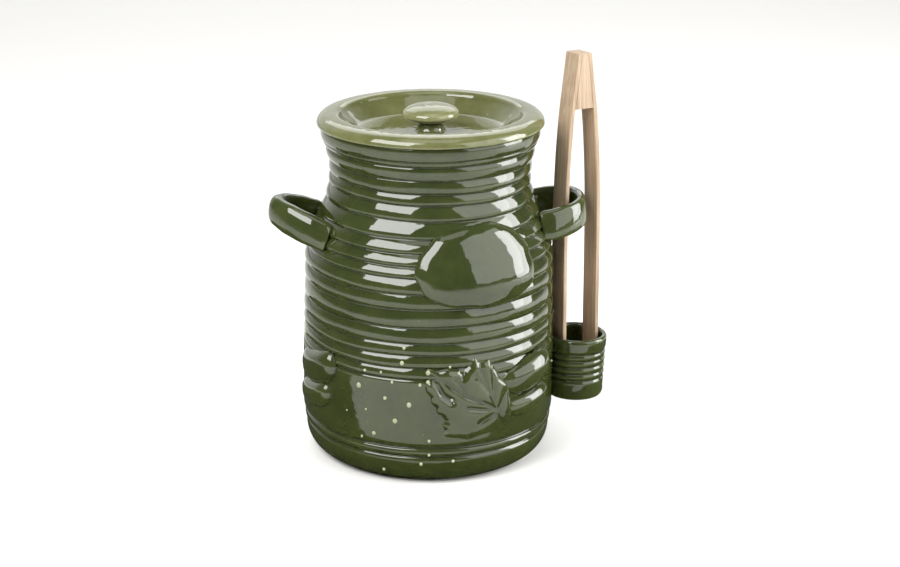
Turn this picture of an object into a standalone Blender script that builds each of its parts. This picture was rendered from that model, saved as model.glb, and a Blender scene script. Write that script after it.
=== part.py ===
"""Stoneware gherkin crock: ribbed pot, lug handles, tong cup, applied relief, lid and wooden tongs.

The frame is metres with +Z up. The origin is the centre of the flat foot, +X runs through the two
handles towards the tong cup, and -Y is the decorated front. Angles are degrees from +X, counter-clockwise.
"""
import math

import bmesh
import bpy
from mathutils import Matrix, Vector

MM = 0.001

# Clearances
SEAT_GAP = 0.3 * MM
TIP_CLEARANCE = 0.8 * MM
TIP_HEIGHT = 2.1 * MM
POINT_MERGE = 0.01 * MM

# Pot body
BAND_RADIUS = 84.0 * MM
FOOT_INSET = 16.0 * MM
FOOT_SPREAD = 14.3 * MM
FOOT_RISE = 17.0 * MM
LOWER_GROOVE_HEIGHT = 20.7 * MM
UPPER_GROOVE_HEIGHT = 27.3 * MM
BASE_GROOVE_DEPTH = 1.5 * MM
BAND_TOP = 74.5 * MM
BELLY_INSET = 0.6 * MM
SHOULDER_HEIGHT = 132.0 * MM
NECK_INSET = 16.6 * MM
NECK_RISE = 12.0 * MM
COLLAR_RISE = 14.5 * MM
LIP_FLARE = 3.6 * MM
LIP_BAND = 7.5 * MM
POT_HEIGHT = 224.0 * MM
WALL = 6.5 * MM
FLOOR = 9.0 * MM
RIB_DEPTH = 1.7 * MM
RIB_SHARES = (7.5, 8.4, 8.1, 10.8, 12.3, 10.3, 10.5, 7.2, 7.4, 8.3, 10.7, 9.8, 7.4, 8.8)
LIP_LINE_DEPTH = 0.5 * MM
LIP_ROUNDING = 1.3 * MM
POT_SEGMENTS = 44
FOOT_RADIUS = BAND_RADIUS - FOOT_INSET
BELLY_RADIUS = BAND_RADIUS - BELLY_INSET
NECK_RADIUS = BAND_RADIUS - NECK_INSET
LIP_RADIUS = NECK_RADIUS + LIP_FLARE
LIP_HEIGHT = POT_HEIGHT - LIP_BAND
RIBS_TOP = LIP_HEIGHT - COLLAR_RISE
NECK_HEIGHT = RIBS_TOP - NECK_RISE

# Lid
LID_OVERHANG = 4.0 * MM
FLANGE_HEIGHT = 6.4 * MM
FLANGE_WIDTH = 13.2 * MM
FLANGE_ROUNDING = 2.0 * MM
WELL_SLOPE = 12.0 * MM
WELL_DEPTH = 12.5 * MM
LID_THICKNESS = 4.5 * MM
LID_SEGMENTS = 44
LID_RADIUS = LIP_RADIUS + LID_OVERHANG
WELL_RADIUS = LID_RADIUS - FLANGE_WIDTH
WELL_FLOOR_RADIUS = WELL_RADIUS - WELL_SLOPE
KNOB_RADIUS = 18.75 * MM
KNOB_NECK_RADIUS = 7.9 * MM
KNOB_FOOT_RADIUS = 9.9 * MM
KNOB_STEM_HEIGHT = 6.4 * MM
KNOB_CAP_HEIGHT = 12.3 * MM
KNOB_SEGMENTS = 28

# Tongs
TONG_LENGTH = 229.0 * MM
ARM_WIDTH = 15.4 * MM
ARM_THICKNESS = 2.7 * MM
ARM_CHAMFER = 0.4 * MM
TIP_TAPER_HEIGHT = 3.5 * MM
TIP_TAPER = 2.0 * MM
TIP_GAP = 22.8 * MM
BLOCK_HEIGHT = 36.8 * MM
BLOCK_TOP_WIDTH = 4.6 * MM
BLOCK_FOOT_WIDTH = 14.2 * MM
ARM_STRAIGHT_LENGTH = 62.0 * MM
ARM_BOW_POWER = 3.33
ARM_BOW_POINTS = 6
TONG_YAW = 20.0
TONG_LEAN = 2.6

# Tong cup
CUP_ANGLE = -3.0
CUP_WALL = 3.9 * MM
CUP_BASE_HEIGHT = 32.0 * MM
CUP_RIM_HEIGHT = 75.5 * MM
CUP_FLOOR = 4.4 * MM
CUP_FILLET = 0.5 * MM
CUP_MOUTH_CLEARANCE = 0.95 * MM
CUP_TAPER = 1.6 * MM
CUP_BASE_ROUNDING = 3.0 * MM
CUP_COLLAR = 8.5 * MM
CUP_GROOVES = 5
CUP_GROOVE_PITCH = 4.6 * MM
CUP_GROOVE_DEPTH = 0.8 * MM
CUP_SEGMENTS = 28

# Handles: (name, angle, height of the roots, rise to the outer bend, strap thickness, squareness)
RIGHT_HANDLE_HEIGHT = 158.5 * MM
RIGHT_HANDLE_RISE = 4.5 * MM
RIGHT_STRAP_THICKNESS = 9.4 * MM
LEFT_HANDLE_HEIGHT = 156.5 * MM
LEFT_HANDLE_RISE = 7.5 * MM
LEFT_STRAP_THICKNESS = 11.6 * MM
HANDLES = (
    ("right_handle", 0.0, RIGHT_HANDLE_HEIGHT, RIGHT_HANDLE_RISE, RIGHT_STRAP_THICKNESS, 2.6),
    ("left_handle", 180.0, LEFT_HANDLE_HEIGHT, LEFT_HANDLE_RISE, LEFT_STRAP_THICKNESS, 2.15),
)
STRAP_HEIGHT = 20.6 * MM
STRAP_SQUARENESS = 2.7
STRAP_LEAD = 1.65 * MM
LOOP_HALF_WIDTH = 25.0 * MM
LOOP_ROOT_DEPTH = 9.0 * MM
LOOP_POINTS = 15
STRAP_POINTS = 16

# Oval plaque
PLAQUE_ANGLE = -74.3
PLAQUE_HEIGHT = 147.3 * MM
PLAQUE_HALF_WIDTH = 43.0 * MM
PLAQUE_HALF_HEIGHT = 25.6 * MM
PLAQUE_THICKNESS = 5.2 * MM
PLAQUE_SQUARENESS = 2.5

# Leaf: its lobes are (direction in degrees, length) from the leaf's base
LEAF_BASE_ANGLE = -67.0
LEAF_BASE_HEIGHT = 53.3 * MM
RIGHT_LOBE = 22.0 * MM
UPPER_LOBE = 38.0 * MM
TIP_LOBE = 55.5 * MM
MIDDLE_LOBE = 46.0 * MM
LOWER_LOBE = 41.0 * MM
FOOT_LOBE = 30.0 * MM
LEAF_LOBES = (
    (70.0, RIGHT_LOBE),
    (111.0, UPPER_LOBE),
    (149.0, TIP_LOBE),
    (168.0, MIDDLE_LOBE),
    (200.0, LOWER_LOBE),
    (222.0, FOOT_LOBE),
)
LEAF_HEEL = 12.0 * MM
LEAF_LOBE_SPREAD = 36.0
LEAF_NOTCH_SHARE = 0.52
LEAF_TOOTH = 1.1 * MM
LEAF_TEETH = 26
LEAF_THICKNESS = 2.4 * MM
LEAF_VEIN_DEPTH = 1.2 * MM
LEAF_OUTLINE_POINTS = 72

# Gherkins: (name, angle, height, length, girth up the wall, tilt in degrees, relief)
RIGHT_UPPER_HEIGHT = 70.5 * MM
RIGHT_UPPER_LENGTH = 47.0 * MM
RIGHT_UPPER_GIRTH = 22.5 * MM
RIGHT_UPPER_RELIEF = 7.0 * MM
RIGHT_LOWER_HEIGHT = 51.0 * MM
RIGHT_LOWER_LENGTH = 44.0 * MM
RIGHT_LOWER_GIRTH = 16.0 * MM
RIGHT_LOWER_RELIEF = 5.5 * MM
LEFT_UPPER_HEIGHT = 68.5 * MM
LEFT_UPPER_LENGTH = 50.0 * MM
LEFT_UPPER_GIRTH = 23.0 * MM
LEFT_UPPER_RELIEF = 4.8 * MM
LEFT_LOWER_HEIGHT = 48.5 * MM
LEFT_LOWER_LENGTH = 46.0 * MM
LEFT_LOWER_GIRTH = 18.5 * MM
LEFT_LOWER_RELIEF = 4.4 * MM
GHERKINS = (
    ("right_gherkin_upper", -48.5, RIGHT_UPPER_HEIGHT, RIGHT_UPPER_LENGTH, RIGHT_UPPER_GIRTH, 14.0,
     RIGHT_UPPER_RELIEF),
    ("right_gherkin_lower", -48.0, RIGHT_LOWER_HEIGHT, RIGHT_LOWER_LENGTH, RIGHT_LOWER_GIRTH, 9.0,
     RIGHT_LOWER_RELIEF),
    ("left_gherkin_upper", -161.0, LEFT_UPPER_HEIGHT, LEFT_UPPER_LENGTH, LEFT_UPPER_GIRTH, 14.0,
     LEFT_UPPER_RELIEF),
    ("left_gherkin_lower", -163.0, LEFT_LOWER_HEIGHT, LEFT_LOWER_LENGTH, LEFT_LOWER_GIRTH, 13.0,
     LEFT_LOWER_RELIEF),
)
GHERKIN_BEND = 2.6 * MM
GHERKIN_BLUNTNESS = 2.6
SPRIG_ROOT = 4.0 * MM

GLAZE = (0.085, 0.115, 0.040)
LID_GLAZE = (0.180, 0.205, 0.105)
BEECH = (0.640, 0.480, 0.310)


def clear_scene():
    """Remove what a new file holds."""
    for item in list(bpy.data.objects):
        bpy.data.objects.remove(item, do_unlink=True)


def new_collection(name):
    """Make a collection of the scene."""
    collection = bpy.data.collections.new(name)
    bpy.context.scene.collection.children.link(collection)
    return collection


def new_material(name, colour, roughness, metallic=0.0):
    """Make a plain Principled material."""
    material = bpy.data.materials.new(name)
    material.use_nodes = True
    shader = material.node_tree.nodes["Principled BSDF"]
    shader.inputs["Base Color"].default_value = (*colour, 1.0)
    shader.inputs["Roughness"].default_value = roughness
    shader.inputs["Metallic"].default_value = metallic
    return material


def add_object(name, mesh, collection, material=None):
    """Put a mesh in the scene as an object."""
    item = bpy.data.objects.new(name, mesh)
    collection.objects.link(item)
    if material is not None:
        mesh.materials.append(material)
    return item


def make_cutter(item):
    """Show an object as a cutter only."""
    item.hide_render = True
    item.display_type = "WIRE"
    return item


def cut(item, cutter):
    """Take a cutter's volume out of an object."""
    modifier = item.modifiers.new("Cut " + cutter.name, "BOOLEAN")
    modifier.operation = "DIFFERENCE"
    modifier.solver = "EXACT"
    modifier.object = cutter


def turned(name, profile, segments, collection, material=None):
    """Turn a profile of (radius, height) points, both ends on the axis, about Z."""
    mesh = bpy.data.meshes.new(name)
    points = [(radius, 0.0, height) for radius, height in profile]
    mesh.from_pydata(points, [(i, i + 1) for i in range(len(points) - 1)], [])
    item = add_object(name, mesh, collection, material)
    screw = item.modifiers.new("Turn", "SCREW")
    screw.axis = "Z"
    screw.angle = math.tau
    screw.steps = segments
    screw.render_steps = segments
    screw.use_merge_vertices = True
    screw.merge_threshold = POINT_MERGE
    screw.use_smooth_shade = True
    return item


def solid_from_curve(item, collection, material):
    """Turn a filled curve into a closed mesh object at the same place."""
    name = item.name
    graph = bpy.context.evaluated_depsgraph_get()
    mesh = bpy.data.meshes.new_from_object(item.evaluated_get(graph))
    shape = bmesh.new()
    shape.from_mesh(mesh)
    bmesh.ops.remove_doubles(shape, verts=shape.verts, dist=POINT_MERGE)
    bmesh.ops.recalc_face_normals(shape, faces=shape.faces)
    shape.to_mesh(mesh)
    shape.free()
    place = item.matrix_world.copy()
    bpy.data.objects.remove(item, do_unlink=True)
    mesh.name = name
    mesh.materials.clear()
    solid = add_object(name, mesh, collection, material)
    solid.matrix_world = place
    return solid


def smooth_step(share):
    """Ease from 0 to 1."""
    share = min(max(share, 0.0), 1.0)
    return share * share * (3.0 - 2.0 * share)


def wall_radius(height):
    """Radius of the wall's outside at a height, over the crests of the ribs."""
    if height <= BAND_TOP:
        return BAND_RADIUS
    if height <= SHOULDER_HEIGHT:
        share = (height - BAND_TOP) / (SHOULDER_HEIGHT - BAND_TOP)
        return BAND_RADIUS + (BELLY_RADIUS - BAND_RADIUS) * math.sqrt(share)
    if height <= NECK_HEIGHT:
        share = smooth_step((height - SHOULDER_HEIGHT) / (NECK_HEIGHT - SHOULDER_HEIGHT))
        return BELLY_RADIUS + (NECK_RADIUS - BELLY_RADIUS) * share
    share = (height - NECK_HEIGHT) / (LIP_HEIGHT - NECK_HEIGHT)
    return NECK_RADIUS + (LIP_RADIUS - NECK_RADIUS) * share * share


def foot_outline():
    """Rounded foot, from the flat base up to the first line."""
    points = []
    for step in range(5):
        turn = math.radians(90.0) * step / 4
        points.append((FOOT_RADIUS + FOOT_SPREAD * math.sin(turn), FOOT_RISE * (1.0 - math.cos(turn))))
    return points


def base_outline():
    """Two turned grooves with a bead between them, up to the plain band."""
    foot_top = FOOT_RADIUS + FOOT_SPREAD
    bead = (foot_top + BAND_RADIUS) / 2
    bead_height = UPPER_GROOVE_HEIGHT - LOWER_GROOVE_HEIGHT
    return [
        (foot_top, LOWER_GROOVE_HEIGHT - 0.3 * bead_height),
        (foot_top - BASE_GROOVE_DEPTH, LOWER_GROOVE_HEIGHT),
        (bead, LOWER_GROOVE_HEIGHT + 0.28 * bead_height),
        (bead, UPPER_GROOVE_HEIGHT - 0.28 * bead_height),
        (bead - BASE_GROOVE_DEPTH, UPPER_GROOVE_HEIGHT),
        (BAND_RADIUS, UPPER_GROOVE_HEIGHT + 0.4 * bead_height),
    ]


def rib_heights():
    """Heights of the grooves between the thrown ribs."""
    zone = RIBS_TOP - BAND_TOP
    total = sum(RIB_SHARES)
    heights = [BAND_TOP]
    for share in RIB_SHARES:
        heights.append(heights[-1] + zone * share / total)
    return heights


def rib_outline():
    """Convex ribs with a sharp groove between each two."""
    heights = rib_heights()
    points = [(BAND_RADIUS, BAND_TOP - 2.0 * RIB_DEPTH)]
    for low, high in zip(heights[:-1], heights[1:]):
        points.append((wall_radius(low) - RIB_DEPTH, low))
        for share, fall in ((0.2, 0.35), (0.5, 0.0), (0.8, 0.35)):
            height = low + (high - low) * share
            points.append((wall_radius(height) - RIB_DEPTH * fall, height))
    points.append((wall_radius(heights[-1]) - RIB_DEPTH, heights[-1]))
    return points


def lip_outline():
    """Wide bead and a narrow one under the plain band of the lip, with a fine line over each."""
    zone = LIP_HEIGHT - RIBS_TOP
    points = []
    for share, fall in ((0.12, 0.3), (0.35, -0.6), (0.57, 0.2), (0.69, 2.0), (0.79, 0.0), (0.89, 0.0), (0.97, 1.0)):
        height = RIBS_TOP + zone * share
        points.append((wall_radius(height) - LIP_LINE_DEPTH * fall, height))
    points.append((LIP_RADIUS, LIP_HEIGHT))
    points.append((LIP_RADIUS, POT_HEIGHT - LIP_ROUNDING))
    points.append((LIP_RADIUS - LIP_ROUNDING, POT_HEIGHT))
    return points


def outer_outline():
    """Outside of the pot from the foot's edge up to the lip."""
    return foot_outline() + base_outline() + rib_outline() + lip_outline()


def inner_outline():
    """Inside of the pot from the middle of the floor up to the lip."""
    inner_band = BAND_RADIUS - WALL
    corner = FLOOR
    points = [(0.0, FLOOR), (inner_band - 2.2 * corner, FLOOR)]
    points.append((inner_band - 0.7 * corner, FLOOR + 0.6 * corner))
    points.append((inner_band, FLOOR + 2.2 * corner))
    points.append((inner_band, BAND_TOP))
    for step in range(5):
        height = SHOULDER_HEIGHT + (NECK_HEIGHT - SHOULDER_HEIGHT) * step / 4
        points.append((wall_radius(height) - WALL, height))
    points.append((wall_radius(LIP_HEIGHT) - WALL, LIP_HEIGHT))
    points.append((LIP_RADIUS - WALL + LIP_ROUNDING, POT_HEIGHT))
    return points


def make_pot(collection, cutters, material):
    """The thrown pot, and a body 0.3 mm larger that seats everything luted on to it."""
    profile = inner_outline() + outer_outline()[::-1] + [(0.0, 0.0)]
    pot = turned("crock_body", profile, POT_SEGMENTS, collection, material)
    grown = [(radius + SEAT_GAP, height) for radius, height in outer_outline()]
    seat_profile = [(0.0, POT_HEIGHT)] + grown[::-1] + [(0.0, 0.0)]
    seat = make_cutter(turned("wall_seat", seat_profile, POT_SEGMENTS, cutters))
    return pot, seat


def make_lid(collection, material):
    """Sunken lid whose flange rests on the lip, with a mushroom knob in the well."""
    seat = POT_HEIGHT + SEAT_GAP
    top = seat + FLANGE_HEIGHT
    floor = top - WELL_DEPTH
    bend = FLANGE_ROUNDING
    plug = WELL_RADIUS + 0.3 * LID_THICKNESS
    profile = [
        (0.0, floor),
        (WELL_FLOOR_RADIUS - bend, floor),
        (WELL_FLOOR_RADIUS + 0.1 * WELL_SLOPE, floor + 0.1 * bend),
        (WELL_RADIUS - 0.1 * WELL_SLOPE, top - bend),
        (WELL_RADIUS - 0.1 * bend, top - 0.3 * bend),
    ]
    for share, fall in ((0.1, 0.0), (0.3, 0.02), (0.5, 0.13), (0.77, 0.39), (0.94, 0.68), (1.0, 0.88)):
        profile.append((WELL_RADIUS + share * FLANGE_WIDTH, top - fall * FLANGE_HEIGHT))
    profile += [
        (LID_RADIUS - 0.3 * bend, seat),
        (plug, seat),
        (plug - 0.2 * bend, seat - 0.5 * bend),
        (WELL_FLOOR_RADIUS + 0.7 * LID_THICKNESS, floor - 0.7 * LID_THICKNESS),
        (WELL_FLOOR_RADIUS - bend, floor - LID_THICKNESS),
        (0.0, floor - LID_THICKNESS),
    ]
    lid = turned("lid_dish", profile, LID_SEGMENTS, collection, material)

    foot = floor + SEAT_GAP
    under = foot + KNOB_STEM_HEIGHT
    cap = KNOB_CAP_HEIGHT
    knob_profile = [
        (0.0, under + cap),
        (0.45 * KNOB_RADIUS, under + 0.95 * cap),
        (0.78 * KNOB_RADIUS, under + 0.8 * cap),
        (0.95 * KNOB_RADIUS, under + 0.62 * cap),
        (KNOB_RADIUS, under + 0.47 * cap),
        (0.96 * KNOB_RADIUS, under + 0.3 * cap),
        (0.8 * KNOB_RADIUS, under + 0.12 * cap),
        (1.2 * KNOB_NECK_RADIUS, under),
        (KNOB_NECK_RADIUS, foot + 0.62 * KNOB_STEM_HEIGHT),
        (KNOB_NECK_RADIUS, foot + 0.3 * KNOB_STEM_HEIGHT),
        (KNOB_FOOT_RADIUS, foot),
        (0.0, foot),
    ]
    knob = turned("lid_knob", knob_profile, KNOB_SEGMENTS, collection, material)
    return lid, knob


def cup_drift():
    """Half the distance that the leaning tongs move sideways inside the cup."""
    return (CUP_RIM_HEIGHT - CUP_BASE_HEIGHT - CUP_FLOOR) / 2 * math.tan(math.radians(TONG_LEAN))


def tip_corner():
    """Distance of an arm tip's corner from the cup's middle line, with the tongs' lean."""
    return math.hypot(TIP_GAP / 2 + ARM_THICKNESS, ARM_WIDTH / 2 + cup_drift())


def tip_reach():
    """How far the tips reach towards the pot from the tongs' middle line."""
    turn = math.radians(TONG_YAW - CUP_ANGLE)
    return (TIP_GAP / 2 + ARM_THICKNESS) * math.cos(turn) + ARM_WIDTH / 2 * math.sin(turn)


def cup_centre():
    """Middle of the cup, as far out as its tongs need to stand clear of the pot's wall."""
    reach = BAND_RADIUS + SEAT_GAP + tip_reach() + TIP_CLEARANCE
    turn = math.radians(CUP_ANGLE)
    return Vector((reach * math.cos(turn), reach * math.sin(turn), 0.0))


def make_cup(collection, seat, material):
    """Small turned cup luted against the wall, which closes its open back."""
    inner = tip_corner() + CUP_MOUTH_CLEARANCE
    rim = inner + CUP_WALL
    base = rim - CUP_TAPER
    floor = CUP_BASE_HEIGHT + CUP_FLOOR
    round_top = 0.5 * CUP_WALL
    collar_foot = CUP_RIM_HEIGHT - CUP_COLLAR

    def outside(height):
        share = (height - CUP_BASE_HEIGHT) / (CUP_RIM_HEIGHT - CUP_BASE_HEIGHT)
        return base + (rim - base) * share

    profile = [(0.0, floor), (inner - CUP_FILLET, floor), (inner, floor + CUP_FILLET)]
    for step in range(5):
        turn = math.pi * (1.0 - step / 4)
        profile.append((
            inner + round_top + round_top * math.cos(turn),
            CUP_RIM_HEIGHT - round_top + round_top * math.sin(turn),
        ))
    profile.append((outside(collar_foot) + 0.2 * CUP_GROOVE_DEPTH, collar_foot + 0.5 * CUP_GROOVE_PITCH))
    for groove in range(CUP_GROOVES):
        height = collar_foot - CUP_GROOVE_PITCH * groove
        profile.append((outside(height) - CUP_GROOVE_DEPTH, height))
        crest = height - 0.5 * CUP_GROOVE_PITCH
        profile.append((outside(crest), crest))
    profile.append((base, CUP_BASE_HEIGHT + CUP_BASE_ROUNDING))
    profile.append((base - 0.3 * CUP_BASE_ROUNDING, CUP_BASE_HEIGHT + 0.3 * CUP_BASE_ROUNDING))
    profile.append((base - CUP_BASE_ROUNDING, CUP_BASE_HEIGHT))
    profile.append((0.0, CUP_BASE_HEIGHT))
    cup = turned("tong_cup", profile, CUP_SEGMENTS, collection, material)
    cup.location = cup_centre()
    cut(cup, seat)
    return cup


def superellipse(turn, half_width, half_height, squareness):
    """Point of a superellipse at a turn in radians."""
    across = math.copysign(abs(math.cos(turn)) ** (2.0 / squareness), math.cos(turn))
    up = math.copysign(abs(math.sin(turn)) ** (2.0 / squareness), math.sin(turn))
    return half_width * across, half_height * up


def make_strap_section(name, thickness, cutters):
    """Rounded oblong section of a handle's strap, as a closed curve."""
    data = bpy.data.curves.new(name, "CURVE")
    data.dimensions = "2D"
    data.fill_mode = "NONE"
    spline = data.splines.new("POLY")
    spline.points.add(STRAP_POINTS - 1)
    for index in range(STRAP_POINTS):
        turn = math.tau * (index + 0.5) / STRAP_POINTS
        across, up = superellipse(turn, thickness / 2, STRAP_HEIGHT / 2, STRAP_SQUARENESS)
        spline.points[index].co = (across, up, 0.0, 1.0)
    spline.use_cyclic_u = True
    return make_cutter(add_object(name, data, cutters))


def make_handle(shape, collection, cutters, seat, material):
    """Flat strap bent into a loop, rising a little from its roots to its outer bend."""
    name, angle, height, rise, thickness, squareness = shape
    root = wall_radius(height) - LOOP_ROOT_DEPTH
    apex = cup_centre().length + STRAP_LEAD
    data = bpy.data.curves.new(name, "CURVE")
    data.dimensions = "3D"
    data.twist_mode = "Z_UP"
    data.bevel_mode = "OBJECT"
    data.bevel_object = make_strap_section(name + "_section", thickness, cutters)
    data.use_fill_caps = True
    spline = data.splines.new("POLY")
    spline.points.add(LOOP_POINTS - 1)
    for index in range(LOOP_POINTS):
        turn = math.radians(-90.0 + 180.0 * index / (LOOP_POINTS - 1))
        out, across = superellipse(turn, apex - root, LOOP_HALF_WIDTH, squareness)
        spline.points[index].co = (root + out, across, height + rise * out / (apex - root), 1.0)
    curve = add_object(name, data, collection)
    curve.rotation_euler = (0.0, 0.0, math.radians(angle))
    bpy.context.view_layer.update()
    handle = solid_from_curve(curve, collection, material)
    handle.data.shade_smooth()
    cut(handle, seat)
    return handle


def wrap_on_wall(shape, angle, height, tilt=0.0):
    """Lay a flat relief on the wall: x runs round the pot, y stands out of it and z runs up it."""
    turn = Matrix.Rotation(-math.radians(tilt), 4, "Y")
    for vert in shape.verts:
        place = turn @ vert.co
        level = height + place.z
        radius = wall_radius(level) + place.y
        swing = math.radians(angle) + place.x / wall_radius(height)
        vert.co = (radius * math.cos(swing), radius * math.sin(swing), level)


def finish_relief(name, shape, collection, material):
    """Close a relief's mesh with outward faces and put it in the scene."""
    shape.normal_update()
    bmesh.ops.recalc_face_normals(shape, faces=shape.faces)
    mesh = bpy.data.meshes.new(name)
    shape.to_mesh(mesh)
    shape.free()
    mesh.shade_smooth()
    return add_object(name, mesh, collection, material)


def make_plaque(collection, seat, material):
    """Smooth oval plaque with rounded edges."""
    shape = bmesh.new()
    bmesh.ops.create_uvsphere(shape, u_segments=28, v_segments=12, radius=1.0)
    for vert in shape.verts:
        rim = math.hypot(vert.co.x, vert.co.y)
        turn = math.atan2(vert.co.y, vert.co.x)
        across, up = superellipse(turn, PLAQUE_HALF_WIDTH, PLAQUE_HALF_HEIGHT, PLAQUE_SQUARENESS)
        depth = PLAQUE_THICKNESS if vert.co.z > 0.0 else SPRIG_ROOT
        out = math.copysign(abs(vert.co.z) ** 0.5, vert.co.z) * depth
        vert.co = (across * rim, out, up * rim)
    wrap_on_wall(shape, PLAQUE_ANGLE, PLAQUE_HEIGHT)
    plaque = finish_relief("oval_plaque", shape, collection, material)
    cut(plaque, seat)
    return plaque


def gherkin_shape(length, thickness, relief, grow):
    """Plump gherkin with blunt ends, lying along x with its flat side to the wall."""
    shape = bmesh.new()
    bmesh.ops.create_uvsphere(shape, u_segments=14, v_segments=12, radius=1.0)
    for vert in shape.verts:
        along, out, up = vert.co.z, vert.co.x, vert.co.y
        blunt = (1.0 - abs(along) ** GHERKIN_BLUNTNESS) ** (1.0 / GHERKIN_BLUNTNESS)
        rim = math.hypot(out, up)
        swell = blunt / rim if rim > 0.001 else 0.0
        depth = relief if out > 0.0 else SPRIG_ROOT
        vert.co = (
            along * (length / 2 + grow),
            out * swell * (depth + grow),
            up * swell * (thickness / 2 + grow) + GHERKIN_BEND * along * along,
        )
    return shape


def make_gherkins(collection, cutters, seat, material):
    """Gherkins in relief; of each pair the lower one is cut by the upper one that lies on it."""
    made = {}
    grown = {}
    for name, angle, height, length, thickness, tilt, relief in GHERKINS:
        shape = gherkin_shape(length, thickness, relief, 0.0)
        wrap_on_wall(shape, angle, height, tilt)
        made[name] = finish_relief(name, shape, collection, material)
        cut(made[name], seat)
        larger = gherkin_shape(length, thickness, relief, SEAT_GAP)
        wrap_on_wall(larger, angle, height, tilt)
        grown[name] = make_cutter(finish_relief(name + "_seat", larger, cutters, None))
    for side in ("right", "left"):
        cut(made[side + "_gherkin_lower"], grown[side + "_gherkin_upper"])
    return made, grown


def leaf_radius(direction):
    """Reach of the leaf's edge from its base, in a direction in degrees."""
    reach = LEAF_HEEL
    for middle, length in LEAF_LOBES:
        off = abs((direction - middle + 180.0) % 360.0 - 180.0) / LEAF_LOBE_SPREAD
        if off < 1.0:
            lobe = LEAF_HEEL + (length - LEAF_HEEL) * (1.0 - off) ** LEAF_NOTCH_SHARE
            reach = max(reach, lobe * (1.0 - 0.35 * off))
    return reach


def leaf_vein(direction):
    """Depth share of the veins: 1 along a lobe's middle line, 0 half way to the next."""
    nearest = min(abs((direction - middle + 180.0) % 360.0 - 180.0) for middle, _ in LEAF_LOBES)
    return max(0.0, 1.0 - nearest / 7.0)


def make_leaf(collection, seat, gherkin_seats, material):
    """Lobed leaf with sunk veins; its right edge is cut by the gherkins that lie against it."""
    shape = bmesh.new()
    rings = ((0.3, 1.0), (0.65, 1.0), (0.92, 0.8), (1.0, 0.35))
    loops = []
    for share, level in rings:
        loop = []
        for index in range(LEAF_OUTLINE_POINTS):
            direction = 360.0 * index / LEAF_OUTLINE_POINTS
            tooth = LEAF_TOOTH * math.cos(math.radians(direction) * LEAF_TEETH) if share == 1.0 else 0.0
            reach = leaf_radius(direction) * share + tooth
            out = LEAF_THICKNESS * level - LEAF_VEIN_DEPTH * leaf_vein(direction) * level
            turn = math.radians(direction)
            loop.append(shape.verts.new((reach * math.cos(turn), out, reach * math.sin(turn))))
        loops.append(loop)
    loops.append([shape.verts.new((vert.co.x, -SPRIG_ROOT, vert.co.z)) for vert in loops[-1]])
    crown = shape.verts.new((0.0, LEAF_THICKNESS - LEAF_VEIN_DEPTH, 0.0))
    root = shape.verts.new((0.0, -SPRIG_ROOT, 0.0))
    count = LEAF_OUTLINE_POINTS
    for index in range(count):
        follow = (index + 1) % count
        shape.faces.new((crown, loops[0][index], loops[0][follow]))
        shape.faces.new((root, loops[-1][follow], loops[-1][index]))
        for near, far in zip(loops[:-1], loops[1:]):
            shape.faces.new((near[index], far[index], far[follow], near[follow]))
    wrap_on_wall(shape, LEAF_BASE_ANGLE, LEAF_BASE_HEIGHT)
    leaf = finish_relief("leaf_sprig", shape, collection, material)
    cut(leaf, seat)
    for name in ("right_gherkin_upper", "right_gherkin_lower"):
        cut(leaf, gherkin_seats[name])
    return leaf


def arm_inner_face(height):
    """Half the gap between the arms at a height above the tips."""
    block_foot = TONG_LENGTH - BLOCK_HEIGHT
    if height >= block_foot:
        share = (height - block_foot) / BLOCK_HEIGHT
        return (BLOCK_FOOT_WIDTH + (BLOCK_TOP_WIDTH - BLOCK_FOOT_WIDTH) * share) / 2
    share = max(0.0, (height - ARM_STRAIGHT_LENGTH) / (block_foot - ARM_STRAIGHT_LENGTH))
    return (TIP_GAP - (TIP_GAP - BLOCK_FOOT_WIDTH) * share ** ARM_BOW_POWER) / 2


def flat_solid(name, outline, width, collection, material):
    """Extrude an outline of (x, z) points to a width along y, with chamfered edges."""
    data = bpy.data.curves.new(name, "CURVE")
    data.dimensions = "2D"
    data.fill_mode = "BOTH"
    data.extrude = width / 2 - ARM_CHAMFER
    data.bevel_depth = ARM_CHAMFER
    data.bevel_resolution = 0
    data.offset = -ARM_CHAMFER
    spline = data.splines.new("POLY")
    spline.points.add(len(outline) - 1)
    for point, (across, up) in zip(spline.points, outline):
        point.co = (across, up, 0.0, 1.0)
    spline.use_cyclic_u = True
    curve = add_object(name, data, collection)
    curve.rotation_euler = (math.radians(90.0), 0.0, 0.0)
    bpy.context.view_layer.update()
    solid = solid_from_curve(curve, collection, material)
    solid.data.transform(solid.matrix_world)
    solid.matrix_world = Matrix.Identity(4)
    return solid


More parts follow.
